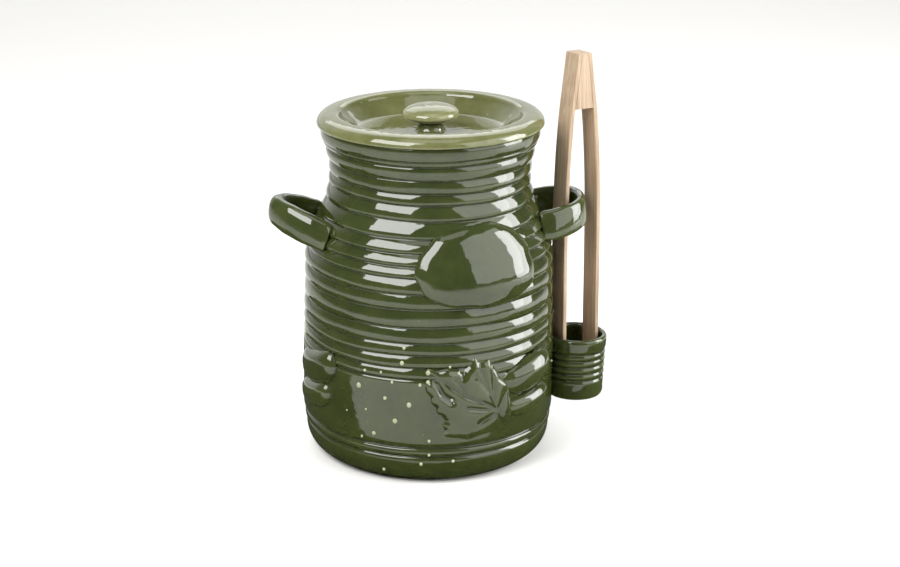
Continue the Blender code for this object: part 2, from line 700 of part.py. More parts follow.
def make_tongs(collection, material):
    """Two sprung wooden strips glued to a wedge, leaning in the cup with the handle between them."""
    frame = bpy.data.objects.new("tongs_frame", None)
    collection.objects.link(frame)
    yaw = math.radians(TONG_YAW)
    depth = (TIP_GAP / 2 + ARM_THICKNESS) * math.sin(yaw) + ARM_WIDTH / 2 * math.cos(yaw)
    lift = depth * math.sin(math.radians(TONG_LEAN)) + TIP_HEIGHT
    frame.location = cup_centre() + Vector((0.0, -cup_drift(), CUP_BASE_HEIGHT + CUP_FLOOR + lift))
    frame.rotation_mode = "ZYX"
    frame.rotation_euler = (-math.radians(TONG_LEAN), 0.0, math.radians(TONG_YAW))

    block_foot = TONG_LENGTH - BLOCK_HEIGHT
    low = BLOCK_FOOT_WIDTH / 2 - SEAT_GAP
    high = BLOCK_TOP_WIDTH / 2 - SEAT_GAP
    outline = [(-low, block_foot), (low, block_foot), (high, TONG_LENGTH), (-high, TONG_LENGTH)]
    block = flat_solid("tong_block", outline, ARM_WIDTH, collection, material)
    block.parent = frame

    heights = [0.0, TIP_TAPER_HEIGHT, ARM_STRAIGHT_LENGTH]
    for step in range(1, ARM_BOW_POINTS + 1):
        heights.append(ARM_STRAIGHT_LENGTH + (block_foot - ARM_STRAIGHT_LENGTH) * step / ARM_BOW_POINTS)
    heights.append(TONG_LENGTH)
    arms = []
    for name, side in (("inner_tong_arm", -1.0), ("outer_tong_arm", 1.0)):
        hinge = Vector((side * arm_inner_face(block_foot), 0.0, block_foot))
        inner = [(side * arm_inner_face(z) - hinge.x, z - hinge.z) for z in heights]
        outer = [(x + side * ARM_THICKNESS, z) for x, z in inner]
        arm = flat_solid(name, inner + outer[::-1], ARM_WIDTH, collection, material)
        for vert in arm.data.vertices:
            if vert.co.z + hinge.z < 0.5 * TIP_TAPER_HEIGHT:
                vert.co.y *= 1.0 - 2.0 * TIP_TAPER / ARM_WIDTH
        arm.location = hinge
        arm.parent = frame
        arms.append(arm)
    return block, arms


def build():
    """Build the whole crock."""
    clear_scene()
    parts = new_collection("pickle_crock")
    cutters = new_collection("cutters")
    glaze = new_material("green_glazed_stoneware", GLAZE, 0.08)
    lid_glaze = new_material("pale_green_glazed_stoneware", LID_GLAZE, 0.1)
    beech = new_material("untreated_beech", BEECH, 0.6)

    pot, seat = make_pot(parts, cutters, glaze)
    make_lid(parts, lid_glaze)
    make_cup(parts, seat, glaze)
    for shape in HANDLES:
        make_handle(shape, parts, cutters, seat, glaze)
    make_plaque(parts, seat, glaze)
    gherkins, gherkin_seats = make_gherkins(parts, cutters, seat, glaze)
    make_leaf(parts, seat, gherkin_seats, glaze)
    make_tongs(parts, beech)
    bpy.context.view_layer.update()


build()
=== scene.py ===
"""Green-glazed stoneware gherkin crock with wooden tongs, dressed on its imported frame.

The frame is metres with +Z up: +X runs through the handles to the tong cup and -Y is the decorated front.
The object's sizes are written in millimetres and turned to metres with MM, and the studio's in metres. A
profile is a list of (radius, height).
"""
import math

import bpy
import numpy as np
from mathutils import Matrix, Vector


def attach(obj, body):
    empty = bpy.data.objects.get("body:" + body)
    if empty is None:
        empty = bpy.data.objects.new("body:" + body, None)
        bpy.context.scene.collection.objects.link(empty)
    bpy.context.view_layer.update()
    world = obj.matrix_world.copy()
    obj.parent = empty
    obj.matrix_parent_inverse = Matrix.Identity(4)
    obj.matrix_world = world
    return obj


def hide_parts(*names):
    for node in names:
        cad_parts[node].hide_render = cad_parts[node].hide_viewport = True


MM = 0.001

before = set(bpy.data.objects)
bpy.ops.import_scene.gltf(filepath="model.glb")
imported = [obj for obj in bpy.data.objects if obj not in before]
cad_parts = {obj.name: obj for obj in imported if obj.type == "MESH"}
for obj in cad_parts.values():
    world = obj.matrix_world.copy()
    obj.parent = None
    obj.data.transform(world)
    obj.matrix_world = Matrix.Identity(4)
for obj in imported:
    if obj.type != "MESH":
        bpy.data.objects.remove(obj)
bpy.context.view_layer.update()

# The photograph and its view: 10 degrees left of the pot's front and 18.5 degrees down. FOCUS is in pixels
IMAGE_WIDTH = 900.0
IMAGE_HEIGHT = 567.0
LENS = 90.0
SENSOR_WIDTH = 36.0
FOCUS = IMAGE_WIDTH * LENS / SENSOR_WIDTH
VIEW_AZIMUTH = -10.0
VIEW_DROP = 18.49
VIEW_ROLL = 0.8
CAMERA_STAND = (0.01415, -1.434, 0.5923)
CAMERA_PLACE = (
    Matrix.Rotation(math.radians(VIEW_AZIMUTH), 4, "Z")
    @ Matrix.Translation(CAMERA_STAND)
    @ Matrix.Rotation(math.radians(90.0 - VIEW_DROP), 4, "X")
    @ Matrix.Rotation(math.radians(VIEW_ROLL), 4, "Z")
)

# Pot wall, nowhere more than 1.5 mm from the solids
BAND_RADIUS = 84.4
BAND_TOP = 74.5
BELLY_RADIUS = 83.6
SHOULDER_HEIGHT = 132.0
NECK_HEIGHT = 190.0
NECK_RADIUS = 67.0
LIP_RADIUS = 72.4
LIP_HEIGHT = 216.5
WALL = 6.5
FLOOR_TOP = 9.0
UNDERSIDE = 2.6
POT_SEGMENTS = 160

# Thrown ribs: their heights against each other from the band up, then the crest and the points drawn on each,
# as shares of its height
RIBS_TOP = 201.8
RIB_DEPTH = 1.9
RIB_SHARES = (7.5, 8.4, 8.1, 10.8, 12.3, 10.3, 10.5, 7.2, 7.4, 8.3, 10.7, 9.8, 7.4, 8.8)
RIB_CREST = 0.34
RIB_STATIONS = (0.025, 0.07, 0.13, 0.2, 0.28, 0.38, 0.5, 0.62, 0.73, 0.82, 0.89, 0.945, 0.98)

# The ribs are out of true from the band up to this height, fading in and out
THROWN_TOP = 206.0
THROWN_FADE = 8.0

# The fired lip is askew, and the lid on it: a rise at the middle, and slopes up to the right and the front
LIP_RISE = 1.0
LIP_SLOPE_RIGHT = 0.0085
LIP_SLOPE_FRONT = 0.0175
WARP_START = 198.0
WARP_FADE = 20.0

# Lid and knob
LID_TOP = 217.7
LID_UNDERSIDE = 213.3
LID_SEGMENTS = 144
KNOB_FOOT = 217.9
KNOB_HEIGHT = 17.8
KNOB_SEGMENTS = 96

# Handles: how far out their middle line comes, how the strap's section leans, how deep its ends lie in the
# wall, and how it narrows towards the wall
HANDLE_REACH = 102.4
STRAP_HALF_HEIGHT = 10.0
STRAP_ROLL = 15.0
ROOT_DEPTH = 6.0
ROOT_SINK = 4.2
ROOT_TAPER = 1.2
ROOT_TAPER_REACH = 4.5
PATH_POINTS = 97
SECTION_POINTS = 40

# Name, angle, height, rise of the outer end, half width, roundness of the loop, and the section's thickness
# and softness
HANDLES = (
    ("right_strap_handle", 0.0, 158.2, 5.5, 28.0, 2.35, 7.4, 2.7),
    ("left_strap_handle", 180.0, 156.0, 12.0, 27.0, 1.5, 10.4, 2.3),
)

# Reliefs on the wall, with their edges sunk into it
SPRIG_SINK = -2.4
SPRIG_THICKNESS = 1.3
PLAQUE_ANGLE = -74.3
PLAQUE_MIDDLE = 147.3
PLAQUE_HALF_WIDTH = 44.2
PLAQUE_HALF_HEIGHT = 26.6
PLAQUE_RELIEF = 5.0
PLAQUE_SQUARENESS = 2.35

# Node, angle, height, length, thickness, tilt, relief, and how blunt the ends are
GHERKINS = (
    ("right_gherkin_upper", -48.5, 70.8, 48.0, 23.5, 15.0, 7.6, 2.4),
    ("right_gherkin_lower", -48.0, 51.0, 45.0, 16.5, 9.0, 6.2, 2.4),
    ("left_gherkin_upper", -161.0, 68.5, 50.0, 23.0, 14.0, 4.8, 5.0),
    ("left_gherkin_lower", -163.0, 48.5, 46.0, 18.5, 13.0, 4.6, 5.0),
)

# Leaf by the photograph's pixels: its edge from the stem round to the left, its veins, and the split beside
# a lobe
LEAF_RELIEF = 2.4
VEIN_DEPTH = 0.6
SPLIT_DEPTH = 2.9
LEAF_BASE = (497.5, 409.0)
LEAF_EDGE = (
    (508, 420), (501, 427), (482, 434), (468, 439), (459, 437), (452, 437), (444, 435), (446, 430),
    (443, 425), (447, 421), (443, 416), (438, 413), (437, 407), (432, 403), (432, 397), (427, 392),
    (426, 384), (431, 382), (429, 372), (438, 374), (448, 371), (459, 373), (463, 379), (467, 372),
    (471, 368), (475, 360), (479, 365), (484, 362), (489, 361), (492, 367), (496, 372), (499, 378),
    (506, 382), (511, 386), (508, 394), (511, 406), (511, 414),
)
LEAF_VEINS = (
    ((497, 409), (489, 392), (480, 370)),
    ((493, 400), (492, 371)),
    ((489, 392), (476, 376)),
    ((497, 409), (502, 396), (507, 386)),
    ((497, 409), (484, 403), (466, 396), (436, 376)),
    ((466, 396), (456, 378)),
    ((497, 409), (468, 408)),
    ((497, 409), (480, 422)),
    ((497, 409), (502, 424)),
)
LEAF_SPLIT = ((430, 374), (437, 384), (443, 395), (452, 401))

# Slip dots: (across, down, radius) by the photograph's pixels, and (angle, height) where it doesn't show
FRONT_DOTS = (
    (477, 366, 1.3), (491, 367, 1.1), (428, 373, 1.5), (428, 382, 1.2), (458, 374, 1.1), (450, 367, 0.8),
    (465, 389, 1.2), (471, 386, 1.0), (452, 400, 1.1), (460, 408, 1.5), (455, 425, 1.2), (420, 385, 1.0),
    (429, 441, 1.0), (359, 385, 1.7), (385, 398, 1.2), (409, 405, 1.6), (395, 421, 1.6), (374, 433, 1.3),
    (362, 436, 0.9), (347, 410, 0.6), (366, 409, 0.7), (429, 455, 0.9), (453, 461, 1.0), (421, 464, 1.1),
    (384, 469, 1.0), (402, 363, 1.4), (404, 348, 1.1), (381, 372, 0.8), (365, 370, 1.0), (392, 382, 0.9),
)
BACK_DOTS = (
    (-20.0, 64.0), (-6.0, 92.0), (14.0, 58.0), (27.0, 70.0), (38.0, 48.0), (52.0, 64.0),
    (67.0, 43.0), (74.0, 68.0), (93.0, 55.0), (108.0, 70.0), (117.0, 45.0), (131.0, 62.0),
    (146.0, 50.0), (158.0, 72.0), (171.0, 40.0), (-176.0, 84.0),
)

# Tong cup: plain collar above the grooves, plain foot below them
CUP_MIDDLE = (100.95, -5.29)
CUP_INNER = 17.46
CUP_TOP = 75.5
CUP_FLOOR = 36.4
CUP_FOOT = 32.0
CUP_GROOVES_TOP = 67.2
CUP_GROOVES_FOOT = 43.7
CUP_GROOVE_PITCH = 4.7
CUP_GROOVE_DEPTH = 0.8
CUP_OUTSIDE_TOP = 71.4
CUP_OUTSIDE_FOOT = 35.4
CUP_OUTSIDE_POINTS = 60
CUP_SEGMENTS = 96

# Tongs, in their own frame: x across the gap, y across the strips, z up from the tips
TONG_LENGTH = 229.0
ARM_WIDTH = 15.4
ARM_THICKNESS = 2.9
TIP_GAP = 22.8
TIP_TAPER_HEIGHT = 3.5
TIP_TAPER = 2.0
BLOCK_HEIGHT = 36.8
BLOCK_TOP_WIDTH = 4.6
BLOCK_FOOT_WIDTH = 14.2
BLOCK_JOINT = 0.08
ARM_STRAIGHT_LENGTH = 62.0
ARM_BOW_POWER = 3.33
ARM_CUTS = 47
WOOD_EDGE_ANGLE = 35.0

# How the tongs stand in the cup: where their tips' middle is, and their turn and leans in degrees
TONG_FOOT = (100.55, -6.18, 39.05)
TONG_YAW = 20.0
TONG_LEAN = 2.6
TONG_SWAY = 0.3

# Softboxes: name, degrees to the right of the camera, degrees up, then metres of distance, width and height,
# watts, and the height in metres that each is aimed at
SOFTBOXES = (
    ("left_strip", -42.0, 42.0, 1.25, 0.91, 0.75, 20.0, 0.12),
    ("right_panel", 66.0, 25.0, 1.35, 1.5, 1.2, 15.0, 0.12),
    ("right_key", 93.0, 16.0, 1.2, 0.55, 0.85, 13.0, 0.12),
    ("overhead", 0.0, 76.0, 1.6, 1.1, 0.9, 5.0, 0.12),
    ("backdrop_wash", 180.0, 42.0, 2.6, 3.0, 1.6, 27.0, 0.0),
)

# Floor and dark card, in metres
FLOOR_SIZE = 12.0
CARD_SIZE = (0.87, 0.331, 1.0)
CARD_PLACE = (0.0223, 0.0489, 0.0004)

# The air: grey before the crock and white behind it
BEHIND = (0.0, 0.954, 0.3)
GREY_AIR = (0.16, 0.16, 0.165, 1.0)
WHITE_AIR = (1.05, 1.055, 1.06, 1.0)


def deselect():
    """Leave nothing selected."""
    for item in bpy.context.selected_objects:
        item.select_set(False)
    bpy.context.view_layer.objects.active = None


def pick(item):
    """Select one object and make it active."""
    deselect()
    item.select_set(True)
    bpy.context.view_layer.objects.active = item


def in_edit(item, work):
    """Run some mesh operators on an object in edit mode."""
    pick(item)
    bpy.ops.object.mode_set(mode="EDIT")
    work()
    bpy.ops.object.mode_set(mode="OBJECT")


def close_mesh():
    """Merge the vertices that coincide and turn all faces outward, in edit mode."""
    bpy.ops.mesh.select_all(action="SELECT")
    bpy.ops.mesh.remove_doubles(threshold=0.02 * MM)
    bpy.ops.mesh.normals_make_consistent(inside=False)


def flip_mesh():
    """Turn all faces the other way, in edit mode."""
    bpy.ops.mesh.select_all(action="SELECT")
    bpy.ops.mesh.flip_normals()


def apply_place(item):
    """Put an object's place, turn and scale into its mesh."""
    pick(item)
    bpy.ops.object.transform_apply(location=True, rotation=True, scale=True)


def apply_modifiers(item):
    """Apply every modifier in its order."""
    pick(item)
    for modifier in list(item.modifiers):
        bpy.ops.object.modifier_apply(modifier=modifier.name)


def shade_round(item):
    """Shade a piece as one smooth surface."""
    pick(item)
    bpy.ops.object.shade_smooth()


def points_of(item):
    """Vertex places of a mesh as an array."""
    places = np.empty(len(item.data.vertices) * 3)
    item.data.vertices.foreach_get("co", places)
    return places.reshape(-1, 3)


def move_points(item, places):
    """Write vertex places back to a mesh."""
    item.data.vertices.foreach_set("co", np.ascontiguousarray(places, dtype=np.float32).ravel())
    item.data.update()


def around(places):
    """Angle about the Z axis of every point, and its distance from that axis."""
    return np.arctan2(places[:, 1], places[:, 0]), np.hypot(places[:, 0], places[:, 1])


def dress(item, name, material, body, slot, *nodes):
    """Name a finished piece, give it its material, and let it stand for its node."""
    item.name = name
    item.data.name = name
    item.data.materials.clear()
    item.data.materials.append(material)
    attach(item, body)
    if nodes:
        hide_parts(*nodes)


def smooth_step(share):
    """Ease from 0 to 1."""
    share = np.clip(share, 0.0, 1.0)
    return share * share * (3.0 - 2.0 * share)


def wall_radius(height):
    """Radius of the pot's outside at a height, over the crests of the ribs, in millimetres."""
    height = np.asarray(height, dtype=float)
    rise = np.clip((height - BAND_TOP) / (SHOULDER_HEIGHT - BAND_TOP), 0.0, 1.0)
    lower = BAND_RADIUS + (BELLY_RADIUS - BAND_RADIUS) * np.sqrt(rise)
    ease = smooth_step((height - SHOULDER_HEIGHT) / (NECK_HEIGHT - SHOULDER_HEIGHT))
    upper = BELLY_RADIUS + (NECK_RADIUS - BELLY_RADIUS) * ease
    flare = np.clip((height - NECK_HEIGHT) / (LIP_HEIGHT - NECK_HEIGHT), 0.0, 1.0)
    top = NECK_RADIUS + (LIP_RADIUS - NECK_RADIUS) * flare**2
    return np.where(height <= SHOULDER_HEIGHT, lower, np.where(height <= NECK_HEIGHT, upper, top))


def on_wall(across, down):
    """Angle in degrees and height in millimetres where the photograph's pixel falls on the pot's wall."""
    ray = Vector(((across - IMAGE_WIDTH / 2.0) / FOCUS, (IMAGE_HEIGHT / 2.0 - down) / FOCUS, -1.0))
    start = CAMERA_PLACE.translation / MM
    ray = CAMERA_PLACE.to_3x3() @ ray
    nearest, farthest, step = 1250.0, 1550.0, 0.2
    reach = np.arange(nearest, farthest, step)
    places = np.array(start)[None, :] + reach[:, None] * np.array(ray)[None, :]
    inside = np.hypot(places[:, 0], places[:, 1]) <= wall_radius(places[:, 2])
    hit = places[int(np.argmax(inside))]
    return math.degrees(math.atan2(hit[1], hit[0])), float(hit[2])


# Materials


def srgb(code):
    """Linear colour from an sRGB hex value."""
    values = [int(code[i : i + 2], 16) / 255 for i in (1, 3, 5)]
    linear = [v / 12.92 if v <= 0.04045 else ((v + 0.055) / 1.055) ** 2.4 for v in values]
    return (*linear, 1.0)


def node(tree, kind, settings=None, inputs=None, links=None):
    """Add a shader node with its settings, input values and links into it."""
    made = tree.nodes.new(kind)
    for key, value in (settings or {}).items():
        setattr(made, key, value)
    for key, value in (inputs or {}).items():
        made.inputs[key].default_value = value
    for key, source in (links or {}).items():
        tree.links.new(source, made.inputs[key])
    return made


def calc(tree, operation, *terms):
    """Add a Math node, each of its terms a number or a socket, and return its result."""
    made = node(tree, "ShaderNodeMath", {"operation": operation})
    for socket, term in zip(made.inputs, terms):
        if isinstance(term, float):
            socket.default_value = term
        else:
            tree.links.new(term, socket)
    return made.outputs[0]


def noise(tree, place, scale, detail, roughness=0.5, distortion=0.0):
    """Add a noise texture and return its value."""
    values = {"Scale": scale, "Detail": detail, "Roughness": roughness, "Distortion": distortion}
    return node(tree, "ShaderNodeTexNoise", inputs=values, links={"Vector": place}).outputs["Fac"]


def cells(tree, place, scale):
    """Add a Voronoi texture and return the distance to its nearest cell's middle."""
    values = {"Scale": scale, "Randomness": 1.0}
    return node(tree, "ShaderNodeTexVoronoi", inputs=values, links={"Vector": place}).outputs["Distance"]


def stretched(tree, place, scale):
    """Scale the place that a texture is read at, along each axis."""
    return node(tree, "ShaderNodeMapping", inputs={"Scale": scale}, links={"Vector": place}).outputs["Vector"]


def set_ramp(ramp, *stops):
    """Set the stops of a new colour ramp, two or more, as (place, colour)."""
    elements = ramp.color_ramp.elements
    while len(elements) < len(stops):
        elements.new(0.5)
    for element, (place, colour) in zip(elements, stops):
        element.position = place
        element.color = colour


def new_material(name):
    """Make an empty node material and return it with its tree and Principled shader."""
    material = bpy.data.materials.new(name)
    material.use_nodes = True
    tree = material.node_tree
    return material, tree, tree.nodes["Principled BSDF"]


def colour_shader(tree, shader, share, below, above):
    """Colour a shader with a socket's colour, mixed by a share with one fixed colour."""
    mixed = node(tree, "ShaderNodeMix", {"data_type": "RGBA"}, {"B": above}, {"Factor": share, "A": below})
    tree.links.new(mixed.outputs["Result"], shader.inputs["Base Color"])


def bump_shader(tree, shader, height, strength, distance):
    """Bend a shader's normal by a texture of heights."""
    values = {"Strength": strength, "Distance": distance}
    skin = node(tree, "ShaderNodeBump", inputs=values, links={"Height": height})
    tree.links.new(skin.outputs["Normal"], shader.inputs["Normal"])


def glaze_material(name, pooled, body, thin, edge, pinholes):
    """Fired translucent glaze over pale stoneware.

    It runs off sharp edges and shows the clay through there, and gathers dark in the grooves. The kiln
    leaves a glassy skin with a slight ripple, about 6 mm from wave to wave.
    """
    material, tree, shader = new_material(name)
    place = node(tree, "ShaderNodeTexCoord").outputs["Object"]
    run_off = node(tree, "ShaderNodeAttribute", {"attribute_name": "glaze_run"}).outputs["Fac"]
    cloud_part = calc(tree, "MULTIPLY_ADD", noise(tree, place, 55.0, 3.0, 0.55), 0.26, -0.13)
    fine_part = calc(tree, "MULTIPLY_ADD", noise(tree, place, 420.0, 2.0, 0.6), 0.08, -0.04)
    uneven = calc(tree, "ADD", cloud_part, fine_part)
    thickness = calc(tree, "ADD", run_off, uneven)
    ramp = node(tree, "ShaderNodeValToRGB", links={"Fac": thickness})
    set_ramp(ramp, (0.14, srgb(pooled)), (0.46, srgb(body)), (0.68, srgb(thin)), (0.95, srgb(edge)))
    speck = calc(tree, "LESS_THAN", cells(tree, place, 120.0), 0.045 * pinholes)
    colour_shader(tree, shader, speck, ramp.outputs["Color"], srgb(edge))
    bump_shader(tree, shader, noise(tree, place, 160.0, 1.5, 0.45), 0.22, 0.0006)
    shader.inputs["Roughness"].default_value = 0.06
    shader.inputs["IOR"].default_value = 1.6
    return material


def wood_material(name):
    """Untreated beech, planed: straight pale grain along the tongs with short dark pores, no sheen."""
    material, tree, shader = new_material(name)
    place = node(tree, "ShaderNodeTexCoord").outputs["Object"]
    along_tongs = node(
        tree,
        "ShaderNodeMapping",
        {"vector_type": "TEXTURE"},
        {"Rotation": (-math.radians(TONG_LEAN), 0.0, math.radians(TONG_YAW))},
        {"Vector": place},
    ).outputs["Vector"]
    grain = noise(tree, stretched(tree, along_tongs, (620.0, 620.0, 14.0)), 1.0, 4.0, 0.6, 0.15)
    tone = noise(tree, along_tongs, 26.0, 2.0)
    both = calc(tree, "MULTIPLY_ADD", tone, 0.25, calc(tree, "MULTIPLY_ADD", grain, 0.75, 0.0))
    ramp = node(tree, "ShaderNodeValToRGB", links={"Fac": both})
    set_ramp(ramp, (0.3, srgb("#7F6A52")), (0.5, srgb("#A48E75")), (0.7, srgb("#BBA78C")))
    pores = cells(tree, stretched(tree, along_tongs, (900.0, 900.0, 130.0)), 1.0)
    pore_share = calc(tree, "MULTIPLY", calc(tree, "LESS_THAN", pores, 0.16), 0.35)
    colour_shader(tree, shader, pore_share, ramp.outputs["Color"], srgb("#8A6845"))
    bump_shader(tree, shader, grain, 0.35, 0.0002)
    shader.inputs["Roughness"].default_value = 0.62
    shader.inputs["IOR"].default_value = 1.5
    return material


def plain_material(name, colour, roughness):
    """Matt surface of one colour, for the studio."""
    material, _, shader = new_material(name)
    shader.inputs["Base Color"].default_value = srgb(colour)
    shader.inputs["Roughness"].default_value = roughness
    return material


def mark_glaze(item, radius=1.6, spread=2):
    """Store how far the glaze runs off each vertex, as the attribute that glaze_material reads.

    It is 1 on edges sharper than a radius in millimetres, 0 in grooves as sharp and 0.5 on the flat, and is
    then evened out over the neighbours.
    """
    mesh = item.data
    mesh.update()
    places = points_of(item)
    normals = np.empty(len(mesh.vertices) * 3)
    mesh.vertex_normals.foreach_get("vector", normals)
    normals = normals.reshape(-1, 3)
    pairs = np.empty(len(mesh.edges) * 2, dtype=np.int64)
    mesh.edges.foreach_get("vertices", pairs)
    first, second = pairs.reshape(-1, 2).T
    step = places[second] - places[first]
    turn = normals[second] - normals[first]
    length = np.maximum((step * step).sum(1), 1e-10)
    bend = (step * turn).sum(1) / length
    weight = np.sqrt(length)
    total = np.zeros(len(places))
    share = np.zeros(len(places))
    for ends in (first, second):
        np.add.at(total, ends, bend * weight)
        np.add.at(share, ends, weight)
    value = np.clip(total / np.maximum(share, 1e-9) * radius * MM, -1.0, 1.0)
    for _ in range(spread):
        total = value * 2.0
        share = np.full(len(places), 2.0)
        np.add.at(total, first, value[second])
        np.add.at(total, second, value[first])
        np.add.at(share, first, 1.0)
        np.add.at(share, second, 1.0)
        value = total / share
    layer = mesh.attributes.new("glaze_run", "FLOAT", "POINT")
    layer.data.foreach_set("value", (0.5 + 0.5 * value).astype(np.float32))


# Turned pieces


def rounded(stations, steps):
    """Points on a smooth line through stations of (radius, height)."""
    line = [Vector(station) for station in stations]
    points = []
    for index in range(len(line) - 1):
        before = line[max(index - 1, 0)]
        start, end = line[index], line[index + 1]
        after = line[min(index + 2, len(line) - 1)]
        lead, tail = (end - before) / 2, (after - start) / 2
        span = (end - start).length
        if lead.length > span:
            lead *= span / lead.length
        if tail.length > span:
            tail *= span / tail.length
        for step in range(steps):
            t = step / steps
            points.append(
                start * (2 * t**3 - 3 * t**2 + 1)
                + lead * (t**3 - 2 * t**2 + t)
                + end * (3 * t**2 - 2 * t**3)
                + tail * (t**3 - t**2)
            )
    points.append(line[-1])
    return points


def turned(profile, segments):
    """Draw a profile in millimetres, both its ends on the axis, and spin it about Z."""
    first = profile[0]
    deselect()
    bpy.ops.mesh.primitive_plane_add(size=MM, location=(first[0] * MM, 0.0, first[1] * MM))
    item = bpy.context.active_object
    apply_place(item)

    def draw():
        bpy.ops.mesh.select_all(action="SELECT")
        bpy.ops.mesh.merge(type="CENTER")
        for start, end in zip(profile[:-1], profile[1:]):
            move = ((end[0] - start[0]) * MM, 0.0, (end[1] - start[1]) * MM)
            bpy.ops.mesh.extrude_vertices_move(TRANSFORM_OT_translate={"value": move})
        bpy.ops.mesh.select_all(action="SELECT")
        bpy.ops.mesh.spin(steps=segments, angle=math.tau, center=(0.0, 0.0, 0.0), axis=(0.0, 0.0, 1.0))
        close_mesh()

    in_edit(item, draw)
    shade_round(item)
    return item


# Crock body


def rib_points():
    """Outside of the thrown ribs, from the band up: low crests that lean back to narrow grooves."""
    low = BAND_TOP
    points = []
    for share in RIB_SHARES:
        tall = (RIBS_TOP - BAND_TOP) * share / sum(RIB_SHARES)
        for part in RIB_STATIONS:
            height = low + tall * part
            if part < RIB_CREST:
                fall = RIB_DEPTH * ((RIB_CREST - part) / RIB_CREST) ** 2.4
            else:
                fall = RIB_DEPTH * ((part - RIB_CREST) / (1.0 - RIB_CREST)) ** 1.9
            points.append((float(wall_radius(height)) - fall, height))
        low += tall
    return points


def crock_profile():
    """Section of the pot, from the middle of its floor up the inside, over the lip and down the outside."""
    inner = rounded(
        [(44.0, FLOOR_TOP), (60.0, FLOOR_TOP), (71.0, 14.4), (77.0, 28.0)]
        + [(77.5, 60.0), (76.2, 118.0), (75.0, 134.0)]
        + [(float(wall_radius(level)) - WALL, level) for level in (145.0, 157.0, 170.0, 182.0, 192.0, 205.0)]
        + [(65.0, 216.5), (66.3, 222.8)],
        6,
    )
    lip = [(66.9, 223.5), (67.8, 223.95), (69.1, 224.0), (70.6, 223.9), (71.7, 223.2), (72.3, 222.1)]
    lip_edge = (72.5, 220.6)
    neck = rounded(
        [lip_edge, (72.5, 217.6), (72.1, 215.6), (71.5, 214.5), (70.8, 213.9), (70.9, 213.3)]
        + [(70.7, 212.4), (70.1, 211.4), (69.2, 210.7), (68.3, 210.3), (68.6, 209.5), (69.0, 208.1)]
        + [(69.0, 206.5), (68.7, 204.9), (68.1, 203.5), (67.3, 202.5), (66.0, 201.9)],
        4,
    )
    foot = rounded(
        [(84.4, 74.2), (84.3, 60.0), (84.4, 32.4), (84.1, 30.2), (83.2, 28.4), (81.8, 27.4), (81.9, 26.7)]
        + [(82.8, 25.9), (83.3, 24.4), (83.2, 22.8), (82.5, 21.7), (81.2, 20.9), (81.1, 20.3), (81.8, 19.4)]
        + [(82.3, 17.6), (82.0, 14.2), (80.8, 10.3), (78.5, 6.3), (75.0, 3.0), (71.4, 1.0), (69.0, 0.3)],
        5,
    )
    base = [(68.2, 0.0), (63.4, 0.0), (62.6, 0.5), (61.6, 1.9), (60.6, 2.4), (30.0, UNDERSIDE)]
    inside = [(0.0, FLOOR_TOP), (22.0, FLOOR_TOP)] + inner
    return inside + lip + [lip_edge] + neck[1:] + rib_points()[::-1] + foot + base + [(0.0, UNDERSIDE)]


def lip_warp(places):
    """How far the fired lip, and the lid on it, stand above their true height: most at the front right."""
    return LIP_RISE + LIP_SLOPE_RIGHT * places[:, 0] - LIP_SLOPE_FRONT * places[:, 1]


def model_crock():
    """Thick-walled pot spun from one profile, then knocked slightly out of true as thrown ware is."""
    item = turned(crock_profile(), POT_SEGMENTS)
    places = points_of(item) / MM
    turn, out = around(places)
    height = places[:, 2]
    thrown = smooth_step((height - BAND_TOP) / THROWN_FADE) * smooth_step((THROWN_TOP - height) / THROWN_FADE)
    sway = 0.3 * np.cos(turn) + 0.2 * np.sin(3.0 * turn - height / 17.0)
    sway += 0.14 * np.sin(7.0 * turn + height / 6.0)
    squeeze = 0.22 * np.sin(2.0 * turn + height / 12.0) + 0.14 * np.sin(5.0 * turn + height / 4.3)
    outside = out > wall_radius(height) - 3.0
    places[:, 2] += sway * thrown * outside
    grow = np.where(outside, 1.0 + np.minimum(squeeze, 0.2) * thrown / np.maximum(out, 1.0), 1.0)
    places[:, :2] *= grow[:, None]
    places[:, 2] += lip_warp(places) * smooth_step((height - WARP_START) / WARP_FADE)
    move_points(item, places * MM)
    return item


# Handles


def superellipse(turn, half_width, half_height, squareness):
    """Points on a rounded oblong."""
    across = np.sign(np.cos(turn)) * np.abs(np.cos(turn)) ** (2.0 / squareness)
    up = np.sign(np.sin(turn)) * np.abs(np.sin(turn)) ** (2.0 / squareness)
    return half_width * across, half_height * up


def handle_path(height, rise, half_width, roundness):
    """Middle line of a handle, out of the wall and back, and each point's share of its reach."""
    root = float(wall_radius(height)) - ROOT_DEPTH
    turn = np.radians(np.linspace(-90.0, 90.0, 181))
    out, across = superellipse(turn, HANDLE_REACH - root, half_width, roundness)
    path = np.stack([root + out, across, height + rise * out / out.max()], 1)
    lengths = np.concatenate([[0.0], np.cumsum(np.linalg.norm(np.diff(path, axis=0), axis=1))])
    even = np.linspace(0.0, lengths[-1], PATH_POINTS)
    path = np.stack([np.interp(even, lengths, path[:, k]) for k in range(3)], 1)
    for _ in range(6):
        path[1:-1] = (path[:-2] + 2.0 * path[1:-1] + path[2:]) / 4.0
    return path, (path[:, 0] - root) / out.max()


def straight_strap():
    """Capped tube with a ring for every point of a handle's path, one millimetre apart."""
    deselect()
    bpy.ops.mesh.primitive_circle_add(vertices=SECTION_POINTS, radius=4 * MM, fill_type="NGON")
    item = bpy.context.active_object

    def draw():
        bpy.ops.mesh.select_all(action="SELECT")
        for _ in range(PATH_POINTS - 1):
            bpy.ops.mesh.extrude_region_move(TRANSFORM_OT_translate={"value": (0.0, 0.0, MM)})

    in_edit(item, draw)
    return item


